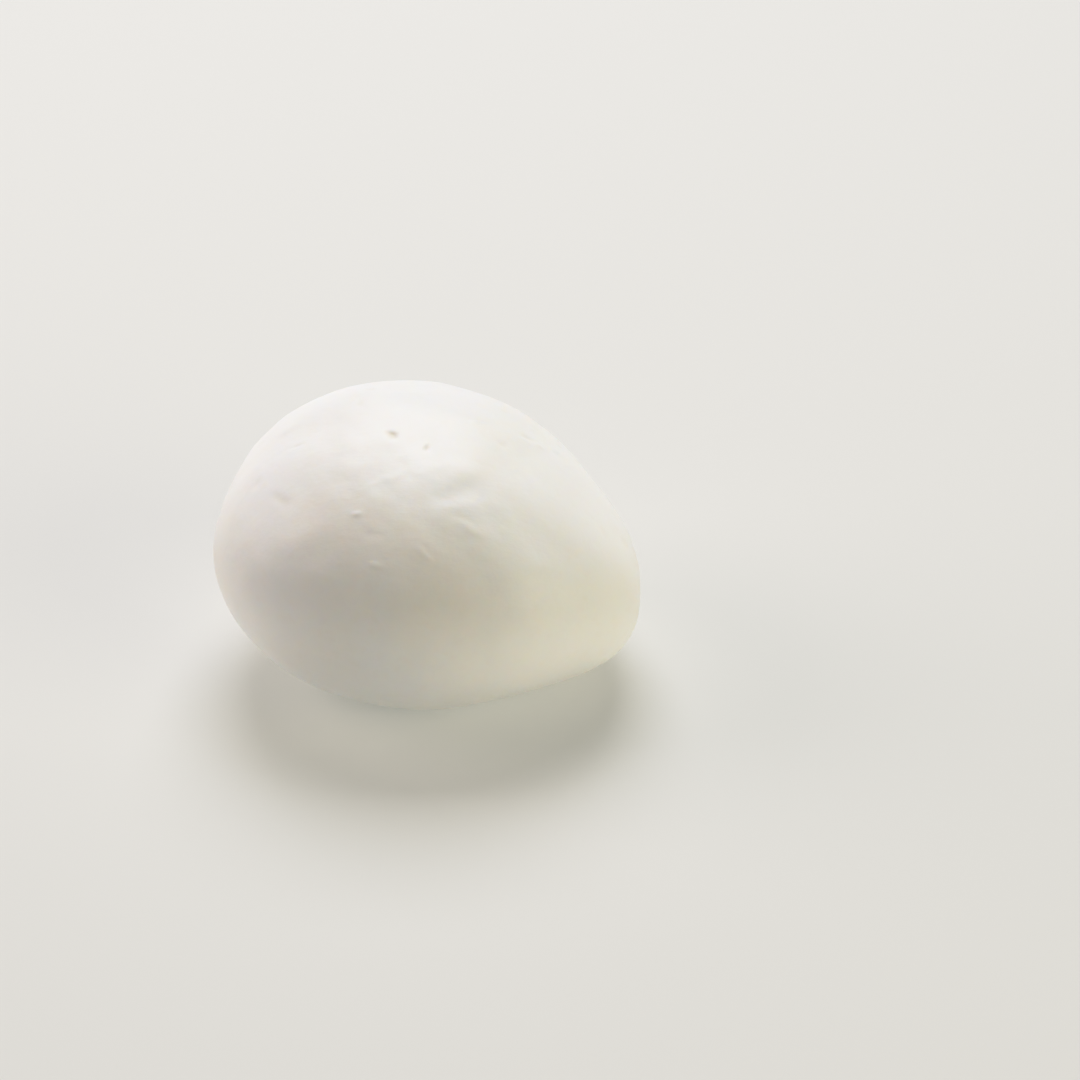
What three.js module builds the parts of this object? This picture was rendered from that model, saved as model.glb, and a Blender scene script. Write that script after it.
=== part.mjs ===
// A fresh mozzarella ball: one soft, solid lump of cheese that has sagged a little under its own weight.
//
// Millimetres, +Z up. The origin is the middle of the ball's outline in plan, on the surface it rests on.
// Directions on the ball are given from its centre as [azimuth, elevation] in degrees: azimuth 0 is the
// front, -Y, and 90 is the right side, +X. Elevation 90 is straight up.

import * as THREE from "three";
import { mergeVertices } from "three/addons/utils/BufferGeometryUtils.js";

// The rounded body: an oval in plan, turned a little, and lower than it is wide.
const HALF_LENGTH = 43.7; // along the long axis of the plan oval
const HALF_WIDTH = 41.6; // along its short axis
const HALF_HEIGHT = 31.9; // from the centre to the crown
const OVAL_TURN_DEG = -21.6; // the long axis, counted from +X towards +Y
const LEAN_X = -0.127; // how far the crown leans to +X for each millimetre above the centre
const LEAN_Y = -0.04; // and to +Y

// The foot: what would reach below the resting surface is pressed flat against it.
const CENTRE_HEIGHT = 26; // of the centre above the resting surface
const FOOT_BLEND = 1.5; // half the height over which the rounded belly turns into the flat foot

// How many times each edge of the 20-sided start is cut.
const EDGE_CUTS = 21;

// Broad swellings and slack places of the soft body. The rise is in mm, and the reach in degrees is the
// distance at which 61% of it is left.
const SWELLINGS = [
  { at: [72, -16], rise: 5.1, reach: 21 }, // right flank, slumped outwards near the foot
  { at: [99, 10], rise: -4.3, reach: 27 }, // slack shoulder above it
  { at: [41, -34], rise: -2.6, reach: 23 }, // belly drawn in towards the foot, front right
  { at: [-71, -10], rise: 4.1, reach: 27 }, // left belly
  { at: [-108, 11], rise: -1.4, reach: 26 }, // slack place behind it
  { at: [-139, 32], rise: 1.9, reach: 30 }, // full crown, back left
  { at: [152, -14], rise: 1.6, reach: 17 }, // low bulges at the back, right and left
  { at: [-155, -12], rise: 1.2, reach: 15 },
  { at: [178, 10], rise: -1.3, reach: 15 }, // slack place between and above them
  { from: [22, 53], to: [60, 60], rise: 0.6, reach: 8 }, // soft shoulder below the crown, front right
  { from: [20, 36], to: [45, 30], rise: -0.4, reach: 8 }, // slack place below it
];

// Shallow dents and low ridges left by the hand that shaped it, each along a short line on the skin.
const MARKS = [
  { from: [15.5, 49], to: [43, 50.5], rise: -0.44, reach: 3.2 }, // slanting dent below the crown
  { from: [18, 39], to: [29, 34], rise: 0.2, reach: 2.8 }, // low ridge under the dent
  { from: [31, 33], to: [32, 26], rise: 0.3, reach: 5 }, // soft swelling that the ridge runs into
  { from: [51, 24], to: [46, 15], rise: -0.18, reach: 3.4 }, // slack groove beside it
  { from: [-50, 21], to: [-34, 15], rise: -0.15, reach: 2.4 }, // soft crease low on the left
  { from: [84, 46], to: [98, 37], rise: -0.32, reach: 3.2 }, // dents and low folds, sides and back
  { from: [97, 8], to: [88, -6], rise: 0.26, reach: 3.6 },
  { from: [112, 34], to: [131, 27], rise: -0.36, reach: 3.2 },
  { from: [138, 54], to: [162, 49], rise: -0.3, reach: 3 },
  { from: [128, -4], to: [143, 4], rise: 0.24, reach: 4 },
  { from: [152, 10], to: [170, 18], rise: -0.34, reach: 3.4 },
  { from: [176, 36], to: [-166, 28], rise: 0.3, reach: 3.2 },
  { from: [-160, 50], to: [-138, 42], rise: -0.34, reach: 3.4 },
  { from: [-150, 12], to: [-136, 22], rise: 0.26, reach: 3.4 },
  { from: [-128, -6], to: [-112, 4], rise: -0.28, reach: 4 },
  { from: [-110, 34], to: [-94, 26], rise: -0.3, reach: 3 },
];
const MARK_TAPER = 0.6; // share of a mark's half line that is added to its reach, lengthwise

// The unit vector of an [azimuth, elevation].
function direction([azimuthDeg, elevationDeg]) {
  const azimuth = THREE.MathUtils.degToRad(azimuthDeg);
  const elevation = THREE.MathUtils.degToRad(elevationDeg);
  return new THREE.Vector3(
    Math.sin(azimuth) * Math.cos(elevation),
    -Math.cos(azimuth) * Math.cos(elevation),
    Math.sin(elevation),
  );
}

// One soft rise or dent: a bell curve around the middle of a line between two directions, as wide as the
// reach across the line and longer along it, so that it fades out towards its ends.
function softFeature({ at, from = at, to = from, rise, reach }) {
  const line = new THREE.Line3(direction(from), direction(to));
  const middle = line.getCenter(new THREE.Vector3());
  const lineDirection = line.delta(new THREE.Vector3()).normalize();
  const width = THREE.MathUtils.degToRad(reach);
  const length = width + (MARK_TAPER * line.distance()) / 2;
  const offset = new THREE.Vector3();
  return (along) => {
    offset.subVectors(along, middle);
    const lengthwise = offset.dot(lineDirection);
    const acrossSquared = offset.lengthSq() - lengthwise ** 2;
    return rise * Math.exp(-0.5 * ((lengthwise / length) ** 2 + acrossSquared / width ** 2));
  };
}

const features = [...SWELLINGS, ...MARKS].map(softFeature);

// Distance from the ball's centre to its skin along a unit vector.
function skinRadius(along) {
  const turn = THREE.MathUtils.degToRad(OVAL_TURN_DEG);
  const inOval = along.clone().applyAxisAngle(new THREE.Vector3(0, 0, 1), -turn);
  const oval = new THREE.Vector3(HALF_LENGTH, HALF_WIDTH, HALF_HEIGHT);
  return features.reduce((radius, rise) => radius + rise(along), 1 / inOval.divide(oval).length());
}

// Height above the resting surface once the ball lies on it: 0 over the foot, unchanged above the blend,
// and a parabola that joins the two smoothly in between.
function settledHeight(height) {
  if (height <= -FOOT_BLEND) return 0;
  if (height >= FOOT_BLEND) return height;
  return (height + FOOT_BLEND) ** 2 / (4 * FOOT_BLEND);
}

// The ball's skin: a finely cut icosahedron whose vertices are moved out to the skin, leant and settled.
function ballGeometry() {
  const start = new THREE.IcosahedronGeometry(1, EDGE_CUTS);
  start.deleteAttribute("normal");
  start.deleteAttribute("uv");
  const skin = mergeVertices(start, 1e-5);
  const position = skin.getAttribute("position");
  const point = new THREE.Vector3();
  for (let i = 0; i < position.count; i++) {
    point.fromBufferAttribute(position, i).normalize();
    point.multiplyScalar(skinRadius(point));
    point.x += LEAN_X * point.z;
    point.y += LEAN_Y * point.z;
    point.z = settledHeight(CENTRE_HEIGHT + point.z);
    position.setXYZ(i, point.x, point.y, point.z);
  }
  skin.computeBoundingBox();
  const middle = skin.boundingBox.getCenter(new THREE.Vector3());
  skin.translate(-middle.x, -middle.y, 0);
  skin.computeVertexNormals();
  return skin;
}

const moistWhiteCurd = new THREE.MeshStandardMaterial({
  name: "moist_white_curd",
  color: 0xf3efe4,
  roughness: 0.42,
  metalness: 0,
});

const ball = new THREE.Mesh(ballGeometry(), moistWhiteCurd);
ball.name = "mozzarella_ball";

const group = new THREE.Group();
group.name = "mozzarella";
group.add(ball);

export default group;
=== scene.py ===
"""A whole fresh mozzarella ball on a pale floor, in soft studio light.

The ball is one closed skin. It repeats the solid's shape, which is worked out from a few sizes and from
swellings and marks along directions, and adds the finer relief of a hand-shaped, moist cheese.
Everything is in metres, +Z up, with the ball's front towards -Y.
"""

import math

import bpy
import numpy as np
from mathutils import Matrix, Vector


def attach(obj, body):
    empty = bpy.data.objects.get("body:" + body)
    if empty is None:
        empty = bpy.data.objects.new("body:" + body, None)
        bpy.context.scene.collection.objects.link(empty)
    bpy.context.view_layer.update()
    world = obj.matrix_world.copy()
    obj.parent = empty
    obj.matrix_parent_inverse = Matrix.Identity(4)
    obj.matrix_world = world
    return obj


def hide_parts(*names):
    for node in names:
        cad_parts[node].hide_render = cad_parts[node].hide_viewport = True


NODE = "mozzarella_ball"
MM = 0.001

# The rounded body, as in the solid: an oval with three half axes that leans, on a foot pressed flat.
HALF_LENGTH = 43.7 * MM
HALF_WIDTH = 41.6 * MM
HALF_HEIGHT = 31.9 * MM
OVAL_TURN_DEG = -21.6  # the long axis, counted from +X towards +Y
LEAN_X, LEAN_Y = -0.127, -0.04  # how far it leans for each metre above the centre
CENTRE_HEIGHT = 26 * MM
FOOT_BLEND = 1.5 * MM  # half the height over which the rounded belly turns into the flat foot

# Soft features are (from, to, rise in mm, reach in degrees). From and to are (azimuth, elevation) in
# degrees as seen from the ball's centre: azimuth 0 is the front, 90 the right, and elevation 90 is up.
SWELLINGS = [
    ((72, -16), (72, -16), 5.1, 21),  # right flank, slumped outwards near the foot
    ((99, 10), (99, 10), -4.3, 27),  # slack shoulder above it
    ((41, -34), (41, -34), -2.6, 23),  # belly drawn in towards the foot, front right
    ((-71, -10), (-71, -10), 4.1, 27),  # left belly
    ((-108, 11), (-108, 11), -1.4, 26),  # slack place behind it
    ((-139, 32), (-139, 32), 1.9, 30),  # full crown, back left
    ((152, -14), (152, -14), 1.6, 17),  # low bulges at the back, right and left
    ((-155, -12), (-155, -12), 1.2, 15),
    ((178, 10), (178, 10), -1.3, 15),  # slack place between and above them
    ((22, 53), (60, 60), 0.6, 8),  # soft shoulder below the crown, front right
    ((20, 36), (45, 30), -0.4, 8),  # slack place below it
]
MARKS = [
    ((15.5, 49), (43, 50.5), -0.44, 3.2),  # slanting dent below the crown
    ((18, 39), (29, 34), 0.2, 2.8),  # low ridge under the dent
    ((31, 33), (32, 26), 0.3, 5),  # soft swelling that the ridge runs into
    ((51, 24), (46, 15), -0.18, 3.4),  # slack groove beside it
    ((-50, 21), (-34, 15), -0.15, 2.4),  # soft crease low on the left
    ((84, 46), (98, 37), -0.32, 3.2),  # dents and low folds round the sides and the back
    ((97, 8), (88, -6), 0.26, 3.6),
    ((112, 34), (131, 27), -0.36, 3.2),
    ((138, 54), (162, 49), -0.3, 3),
    ((128, -4), (143, 4), 0.24, 4),
    ((152, 10), (170, 18), -0.34, 3.4),
    ((176, 36), (-166, 28), 0.3, 3.2),
    ((-160, 50), (-138, 42), -0.34, 3.4),
    ((-150, 12), (-136, 22), 0.26, 3.4),
    ((-128, -6), (-112, 4), -0.28, 4),
    ((-110, 34), (-94, 26), -0.3, 3),
]
TAPER = 0.6  # share of a feature's half line that is added to its reach, lengthwise
NO_LINE = 1e-9  # stands in for the length of a feature's line where it is a single point

# Marks too fine for the solid: pin holes, specks and thin creases of the stretched skin.
FINE_MARKS = [
    ((-39, 78.2), (-31, 79.2), -0.6, 1.15),  # pin hole beside the crown
    ((56, 77.7), (25, 72.8), -0.1, 0.9),  # faint crease
    ((20.4, 71.3), (21.4, 71.9), -0.34, 0.8),  # small hole at its end
    ((3, 61), (32, 61), 0.1, 2.2),  # faint bands above the slanting dent
    ((-25, 51.3), (-4.4, 61), 0.1, 1.3),
    ((12, 46), (25, 45), 0.09, 1.4),  # lip under the dent's lower end
    ((30, 46.4), (43, 46), -0.07, 2.4),  # where the dent runs out
    ((17, 39.5), (27, 35), 0.1, 1.1),  # crest of the low ridge
    ((21.5, 30.5), (28.5, 28.5), 0.12, 2.2),  # soft rise under the ridge
    ((35, 21.5), (42, 20.5), 0.26, 2.8),  # soft swelling that catches the light
    ((-64, 34), (-54, 35.2), -0.24, 1.2),  # short dent high on the left
    ((-35.5, 20), (-30, 19.4), 0.14, 2),  # lip over the soft crease low on the left
    ((-26.8, 41.8), (-24.8, 42.3), 0.2, 0.75),  # specks and scratches down the front
    ((-17, 36.2), (-14.4, 35.4), -0.13, 0.8),
    ((-15.2, 26.8), (-12.8, 27), 0.22, 0.75),
    ((0.5, 34), (5, 29.6), 0.1, 0.8),
    ((-20, 14), (-17.4, 14.3), 0.16, 0.8),
    ((-14.5, 11.8), (-10.8, 8.2), -0.22, 0.9),
    ((4, 8), (11, 5.4), 0.12, 1),
]

# Fine marks strewn over the sides and the back, where the list above has none.
STREWN, STREWN_SEED = 52, 11
STREWN_AZIMUTHS = (70, 290)
STREWN_SINES = (-0.15, 0.97)  # of the elevation, so that equal patches of skin get equal shares
HALF_LINES, HALF_LINE_SHARES = [0.5, 1.5, 4.5], [0.45, 0.35, 0.2]  # specks, dents and creases, in degrees
STREWN_RISES, SUNK_SHARE = (0.14, 0.4), 0.6  # in mm, and the share of marks that are sunk
LINE_FADE = 0.15  # how much shallower a mark is for each degree of its half line
STREWN_REACHES = (0.8, 1.5)
CROWN_COSINE = 0.2  # least cosine of the elevation by which a mark is widened in azimuth

# Soft unevenness of the whole skin: (wavelength, rise, seed).
UNEVENNESS = [
    (26 * MM, 0.11 * MM, 3),  # broad presses of the hand
    (9 * MM, 0.03 * MM, 4),  # lumps of curd under the skin
    (3.6 * MM, 0.006 * MM, 8),  # texture of the skin itself
]
WAVES, WAVE_SPREAD = 64, (0.75, 1.33)  # cosines in each ripple, and how far their wave numbers spread
# How far the fine marks stray from their straight lines, and one seed for each of the three axes.
WANDER_DEG, WANDER_WAVELENGTH, WANDER_SEEDS = 0.5, 7 * MM, (5, 6, 7)

CUTS = 128  # squares along each edge of the cube that the skin is spread from

# Moist white curd. Colours are red, green, blue and alpha. The third of them is painted shade, tinted like
# whey, for the fine hollows.
WHITE, IVORY, WHEY_TINTED_SHADE = (0.945, 0.93, 0.9, 1), (0.915, 0.89, 0.835, 1), (0.82, 0.78, 0.68, 1)
DRIFT_SIZE, FLECK_SIZE = 26 * MM, 2.4 * MM  # of the patches in which the tone changes
FLECK_SHARE = 0.3  # of the tone's change, the rest being its broad drift
HOLLOW_SHADE = (0.04, 0.6)  # depths in mm at which painted shade, tinted like whey, starts to darken a hollow, and darkens it fully
DULL_SIZE, CURD_ROUGHNESS = 11 * MM, (0.44, 0.58)  # least and most, in patches of that size
FILM_SIZE, WHEY_FILM = 17 * MM, (0.08, 0.2)
COARSE_GRAIN, FINE_GRAIN, FIBRE_WIDTH = 3.2 * MM, 0.9 * MM, 1.1 * MM
FIBRE_TURN, FIBRE_STRETCH = (0.3, 0.5, 0.6), (0.22, 1.0, 1.0)  # the way that the curd was pulled
GRAIN_STRENGTH, GRAIN_HEIGHT = 0.6, 0.16 * MM
CURD_FIXED = {
    "Subsurface Weight": 1.0,
    "Subsurface Radius": (1.0, 0.86, 0.7),  # red light sinks in deepest
    "Subsurface Scale": 0.8 * MM,
    "IOR": 1.4,
    "Coat Roughness": 0.32,
    "Coat IOR": 1.34,  # of whey
}

# The floor: near-white and faintly lit from within.
FLOOR_FIXED = {
    "Base Color": (0.52, 0.515, 0.5, 1),
    "Roughness": 0.6,
    "Specular IOR Level": 0.25,
    "Emission Color": (0.98, 1.0, 0.9, 1),
    "Emission Strength": 0.22,
}
FLOOR_HALF = 6.0  # half a side, far more than any view shows
FLOOR_DROP = 0.02 * MM  # keeps the floor clear of the ball's foot

# Square lights, all equally far from the ball: (name, azimuth, elevation, watts, colour).
LIGHT_DISTANCE, LIGHT_SIDE = 1.2, 0.8
LIGHTS = [
    ("overhead", 180, 55, 13.9, (0.98, 0.97, 1.0)),
    ("left_card", -100, 25, 6.9, (1.0, 0.88, 0.83)),
    ("right_card", 60, 20, 6.9, (1.0, 0.93, 0.72)),
]
SURROUND_FIXED = {"Color": (1.0, 0.98, 0.94, 1), "Strength": 0.02}

# Camera: a long lens that looks down on the ball from the front.
LENS_MM, SENSOR_MM = 135, 36
LOOK_DOWN_DEG = 33
CAMERA_DISTANCE = 0.907
LOOKED_AT = (0.0238, 0.0422, 0.0)  # the place on the floor in the middle of the picture

# Brightness in the scene, and how bright it is shown.
SHOULDER = [(0.4, 0.4), (0.75, 0.75), (1.0, 0.91), (1.2, 0.965), (1.5, 1.0)]
COMBINED = 3  # the curve that bends red, green and blue alike


def direction(azimuth_deg, elevation_deg):
    """Unit vector of an azimuth, 0 at -Y and 90 at +X, and an elevation above the level."""
    azimuth, elevation = math.radians(azimuth_deg), math.radians(elevation_deg)
    return np.array([
        math.sin(azimuth) * math.cos(elevation),
        -math.cos(azimuth) * math.cos(elevation),
        math.sin(elevation),
    ])


def soft_relief(directions, features):
    """Sum over the features of rise * exp(-((along / length)^2 + (across / reach)^2) / 2) on the unit ball.

    Along and across are measured from the middle of the feature's line, along it and square to it, and the
    length is the reach plus TAPER times half the line, so a mark fades out towards its ends.
    """
    relief = np.zeros(len(directions))
    for start, end, rise_mm, reach_deg in features:
        first, last = direction(*start), direction(*end)
        half_line = np.linalg.norm(last - first) / 2
        away = directions - (first + last) / 2
        along = away @ (last - first) / max(2 * half_line, NO_LINE)
        across_squared = (away ** 2).sum(axis=1) - along ** 2
        reach = math.radians(reach_deg)
        length = reach + TAPER * half_line
        relief += rise_mm * MM * np.exp(-0.5 * ((along / length) ** 2 + across_squared / reach ** 2))
    return relief


def strewn_marks():
    """Specks, small dents and short creases at random places round the sides and the back, of random
    bearing, length, rise and reach, most of them sunk."""
    rng = np.random.default_rng(STREWN_SEED)
    marks = []
    for _ in range(STREWN):
        azimuth, sine = rng.uniform(*STREWN_AZIMUTHS), rng.uniform(*STREWN_SINES)
        bearing, half_line = rng.uniform(0, math.pi), rng.choice(HALF_LINES, p=HALF_LINE_SHARES)
        rise = rng.uniform(*STREWN_RISES) * rng.choice([-1, 1], p=[SUNK_SHARE, 1 - SUNK_SHARE])
        elevation = math.asin(sine)
        across = half_line * math.cos(bearing) / max(math.cos(elevation), CROWN_COSINE)
        up = half_line * math.sin(bearing)
        start = azimuth - across, math.degrees(elevation) - up
        end = azimuth + across, math.degrees(elevation) + up
        marks.append((start, end, rise / (1 + LINE_FADE * half_line), rng.uniform(*STREWN_REACHES)))
    return marks


def ripple(points, wavelength, rise, seed):
    """Soft unevenness of that root mean square rise: a sum of cosines along random directions and phases,
    with wavelengths from three quarters to four thirds of the one given."""
    rng = np.random.default_rng(seed)
    along = rng.normal(size=(3, WAVES))
    along *= 2 * math.pi / wavelength * rng.uniform(*WAVE_SPREAD, WAVES) / np.linalg.norm(along, axis=0)
    phases = rng.uniform(0, 2 * math.pi, WAVES)
    return rise * math.sqrt(2 / WAVES) * np.cos(points @ along + phases).sum(axis=1)


def spread_cube(cuts):
    """Unit directions and square faces of a ball: the lattice points on a cube's six sides, shared along its
    edges, spaced by the tangent so that the squares come out even, and pushed out to length 1."""
    steps = np.arange(cuts + 1)
    across, up = np.meshgrid(steps, steps, indexing="ij")
    squares = []
    for axis in range(3):
        for side in (0, cuts):
            lattice = np.empty((cuts + 1, cuts + 1, 3), int)
            lattice[..., axis] = side
            lattice[..., (axis + 1) % 3] = across
            lattice[..., (axis + 2) % 3] = up
            codes = lattice @ np.array([1, cuts + 1, (cuts + 1) ** 2])
            ring = [codes[:-1, :-1], codes[1:, :-1], codes[1:, 1:], codes[:-1, 1:]]
            squares.append(np.stack(ring if side else ring[::-1], axis=-1).reshape(-1, 4))
    used, corners = np.unique(np.concatenate(squares), return_inverse=True)
    lattice = np.stack([used % (cuts + 1), used // (cuts + 1) % (cuts + 1), used // (cuts + 1) ** 2], axis=-1)
    spread = np.tan((lattice / cuts - 0.5) * math.pi / 2)
    return spread / np.linalg.norm(spread, axis=1, keepdims=True), corners.reshape(-1, 4)


def oval_radius(directions):
    """Distance from the centre to an oval with three half axes: 1 over the length of the direction, turned
    into the oval's own axes and divided by them."""
    turn = math.radians(OVAL_TURN_DEG)
    x, y, z = directions.T
    in_oval = np.stack([
        (x * math.cos(turn) + y * math.sin(turn)) / HALF_LENGTH,
        (y * math.cos(turn) - x * math.sin(turn)) / HALF_WIDTH,
        z / HALF_HEIGHT,
    ])
    return 1 / np.linalg.norm(in_oval, axis=0)


def fine_relief(directions):
    """Relief of the fine marks, whose directions first wander a little by a ripple on each axis."""
    rough = directions * HALF_LENGTH
    stray = math.radians(WANDER_DEG)
    wander = [ripple(rough, WANDER_WAVELENGTH, stray, seed) for seed in WANDER_SEEDS]
    return soft_relief(directions + np.stack(wander, axis=-1), FINE_MARKS + strewn_marks())


def skin_points(directions):
    """Places on the skin, and how deep each lies in a fine mark, in metres.

    The distance from the centre is the oval's, plus the soft relief, the fine relief and the unevenness.
    The point then leans with its height, and heights near and below the floor are settled: 0 under
    -FOOT_BLEND, unchanged over FOOT_BLEND, and a parabola in between.
    """
    fine = fine_relief(directions)
    radius = oval_radius(directions) + soft_relief(directions, SWELLINGS + MARKS) + fine
    for wavelength, rise, seed in UNEVENNESS:
        radius += ripple(directions * HALF_LENGTH, wavelength, rise, seed)
    points = directions * radius[:, None]
    points[:, 0] += LEAN_X * points[:, 2]
    points[:, 1] += LEAN_Y * points[:, 2]
    height = points[:, 2] + CENTRE_HEIGHT
    parabola = (height + FOOT_BLEND) ** 2 / (4 * FOOT_BLEND)
    points[:, 2] = np.where(np.abs(height) < FOOT_BLEND, parabola, np.maximum(height, 0))
    return points, np.maximum(-fine, 0)


def add(name, data):
    """A new object with that mesh, light or camera, in the scene."""
    thing = bpy.data.objects.new(name, data)
    bpy.context.scene.collection.objects.link(thing)
    return thing


def make_ball():
    """The ball's skin as one closed mesh, centred over the origin. Its attribute hollow is how deep each
    point lies in a fine mark, in mm."""
    directions, squares = spread_cube(CUTS)
    points, hollow = skin_points(directions)
    points[:, :2] -= (points[:, :2].min(axis=0) + points[:, :2].max(axis=0)) / 2
    mesh = bpy.data.meshes.new("mozzarella")
    mesh.from_pydata(points, [], squares)
    mesh.attributes.new("hollow", "FLOAT", "POINT").data.foreach_set("value", hollow / MM)
    mesh.shade_smooth()
    mesh.materials.append(moist_curd())
    return add("mozzarella", mesh)


class Value:
    """A node's output. Sums and products add Math nodes, and node() adds any other node."""

    def __init__(self, tree, socket=None):
        self.tree, self.socket = tree, socket

    def node(self, kind, settings=None, inputs=None, output=0):
        """Adds a node of that kind, sets its settings, then gives its inputs their values or links."""
        made = self.tree.nodes.new(kind)
        for name, setting in (settings or {}).items():
            setattr(made, name, setting)
        for name, value in (inputs or {}).items():
            if isinstance(value, Value):
                self.tree.links.new(value.socket, made.inputs[name])
            else:
                made.inputs[name].default_value = value
        return Value(self.tree, made.outputs[output])

    def math(self, operation, other):
        return self.node("ShaderNodeMath", {"operation": operation}, {0: self, 1: other})

    def __add__(self, other):
        return self.math("ADD", other)

    def __mul__(self, other):
        return self.math("MULTIPLY", other)

    __radd__ = __add__
    __rmul__ = __mul__

    def between(self, low, high):
        """0 at low and under, 1 at high and over, and a smooth step in between."""
        limits = {"Value": self, "From Min": low, "From Max": high}
        return self.node("ShaderNodeMapRange", {"interpolation_type": "SMOOTHSTEP"}, limits)

    def onto(self, low, high):
        """low where this value is 0, and high where it is 1."""
        return self * (high - low) + low

    def mix(self, colour, other):
        """colour where this value is 0, and other where it is 1."""
        return self.node("ShaderNodeMix", {"data_type": "RGBA"}, {0: self, 6: colour, 7: other}, output=2)

    def feed(self, shader, name):
        """Links this value to one of the shader's sockets."""
        self.tree.links.new(self.socket, shader.inputs[name])


def set_fixed(node, fixed):
    """Sets the node's unlinked inputs that are named."""
    for name, value in fixed.items():
        node.inputs[name].default_value = value


def new_material(name, fixed):
    """A material with one Principled shader, whose fixed values are set, and a Value to add nodes with."""
    material = bpy.data.materials.new(name)
    material.use_nodes = True
    shader = material.node_tree.nodes["Principled BSDF"]
    set_fixed(shader, fixed)
    return material, shader, Value(material.node_tree)


def moist_curd():
    """Porcelain-white moist curd: light sinks in, a thin film of whey shines, the tone drifts softly, and
    painted shade tinted like whey darkens the fine hollows.
    """
    material, shader, start = new_material("moist_white_curd", CURD_FIXED)
    place = start.node("ShaderNodeTexCoord", output="Object")

    def noise(size, detail=2.0, roughness=0.5, over=place):
        """Smooth noise whose blotches are about that size across."""
        settings = {"Vector": over, "Scale": 1 / size, "Detail": detail, "Roughness": roughness}
        return start.node("ShaderNodeTexNoise", inputs=settings)

    drift = noise(DRIFT_SIZE).between(0.35, 0.65)
    flecks = noise(FLECK_SIZE, detail=3.0).between(0.5, 0.75)
    hollow = start.node("ShaderNodeAttribute", {"attribute_name": "hollow"}, output="Fac")
    tone = (drift * (1 - FLECK_SHARE) + flecks * FLECK_SHARE).mix(WHITE, IVORY)
    # Painted shade, tinted like whey, darkens the fine hollows more the deeper they are.
    hollow.between(*HOLLOW_SHADE).mix(tone, WHEY_TINTED_SHADE).feed(shader, "Base Color")
    noise(DULL_SIZE).between(0.3, 0.7).onto(*CURD_ROUGHNESS).feed(shader, "Roughness")
    noise(FILM_SIZE).between(0.35, 0.65).onto(*WHEY_FILM).feed(shader, "Coat Weight")

    turned = {"Vector": place, "Rotation": FIBRE_TURN, "Scale": FIBRE_STRETCH}
    along_pull = start.node("ShaderNodeMapping", inputs=turned)
    fibre = noise(FIBRE_WIDTH, detail=3.0, roughness=0.55, over=along_pull)
    coarse, fine = noise(COARSE_GRAIN, detail=3.0), noise(FINE_GRAIN)
    grain = {"Height": coarse * 0.5 + fine * 0.2 + fibre * 0.3}
    grain |= {"Strength": GRAIN_STRENGTH, "Distance": GRAIN_HEIGHT}
    start.node("ShaderNodeBump", inputs=grain).feed(shader, "Normal")
    return material


def pale_floor():
    """A plain near-white table, faintly lit from within so that shadows on it stay light."""
    corners = [(-1, -1), (1, -1), (1, 1), (-1, 1)]
    mesh = bpy.data.meshes.new("floor")
    places = [(x * FLOOR_HALF, y * FLOOR_HALF, -FLOOR_DROP) for x, y in corners]
    mesh.from_pydata(places, [], [(0, 1, 2, 3)])
    mesh.materials.append(new_material("pale_floor", FLOOR_FIXED)[0])
    add("floor", mesh)


def aim(thing, place, target):
    """Puts a camera or light at a place, and turns it to look at the target."""
    thing.location = place
    away = np.array(target) - np.array(place)
    thing.rotation_mode = "QUATERNION"
    thing.rotation_quaternion = Vector(away).to_track_quat("-Z", "Y")


def light_studio():
    """A broad cool light high behind the ball, a warm card at either side, and a faint glow all round."""
    centre = np.array([0, 0, CENTRE_HEIGHT])
    for name, azimuth_deg, elevation_deg, watts, colour in LIGHTS:
        light = bpy.data.lights.new(name, "AREA")
        light.shape = "SQUARE"
        light.size = LIGHT_SIDE
        light.energy = watts
        light.color = colour
        aim(add(name, light), centre + LIGHT_DISTANCE * direction(azimuth_deg, elevation_deg), centre)
    world = bpy.data.worlds.new("surround")
    world.use_nodes = True
    set_fixed(world.node_tree.nodes["Background"], SURROUND_FIXED)
    bpy.context.scene.world = world


def place_camera():
    """A long lens that looks down on the floor beside the ball, level from side to side."""
    camera = add("camera", bpy.data.cameras.new("camera"))
    camera.data.lens, camera.data.sensor_width = LENS_MM, SENSOR_MM
    place = np.array(LOOKED_AT) + CAMERA_DISTANCE * direction(0, LOOK_DOWN_DEG)
    aim(camera, place, LOOKED_AT)
    bpy.context.scene.camera = camera


def soften_highlights():
    """Shows the scene as it is up to SHOULDER's second point, and rolls off what is brighter along a smooth
    curve, so that the side turned to the light keeps its shape."""
    view = bpy.context.scene.view_settings
    view.view_transform = "Standard"
    view.use_curve_mapping = True
    mapping = view.curve_mapping
    brightest = SHOULDER[-1][0]
    mapping.white_level = (brightest,) * 3
    curve = mapping.curves[COMBINED]
    for scene_level, shown_level in SHOULDER[:-1]:
        curve.points.new(scene_level / brightest, shown_level)
    mapping.update()


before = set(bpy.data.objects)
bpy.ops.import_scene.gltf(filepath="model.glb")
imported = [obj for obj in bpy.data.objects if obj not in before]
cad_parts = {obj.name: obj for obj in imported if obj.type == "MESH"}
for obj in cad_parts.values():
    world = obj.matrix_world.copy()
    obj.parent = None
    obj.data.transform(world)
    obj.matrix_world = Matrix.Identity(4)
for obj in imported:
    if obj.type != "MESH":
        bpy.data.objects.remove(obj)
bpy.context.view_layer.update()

ball = make_ball()
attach(ball, "root")
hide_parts(NODE)

pale_floor()
light_studio()
place_camera()
soften_highlights()
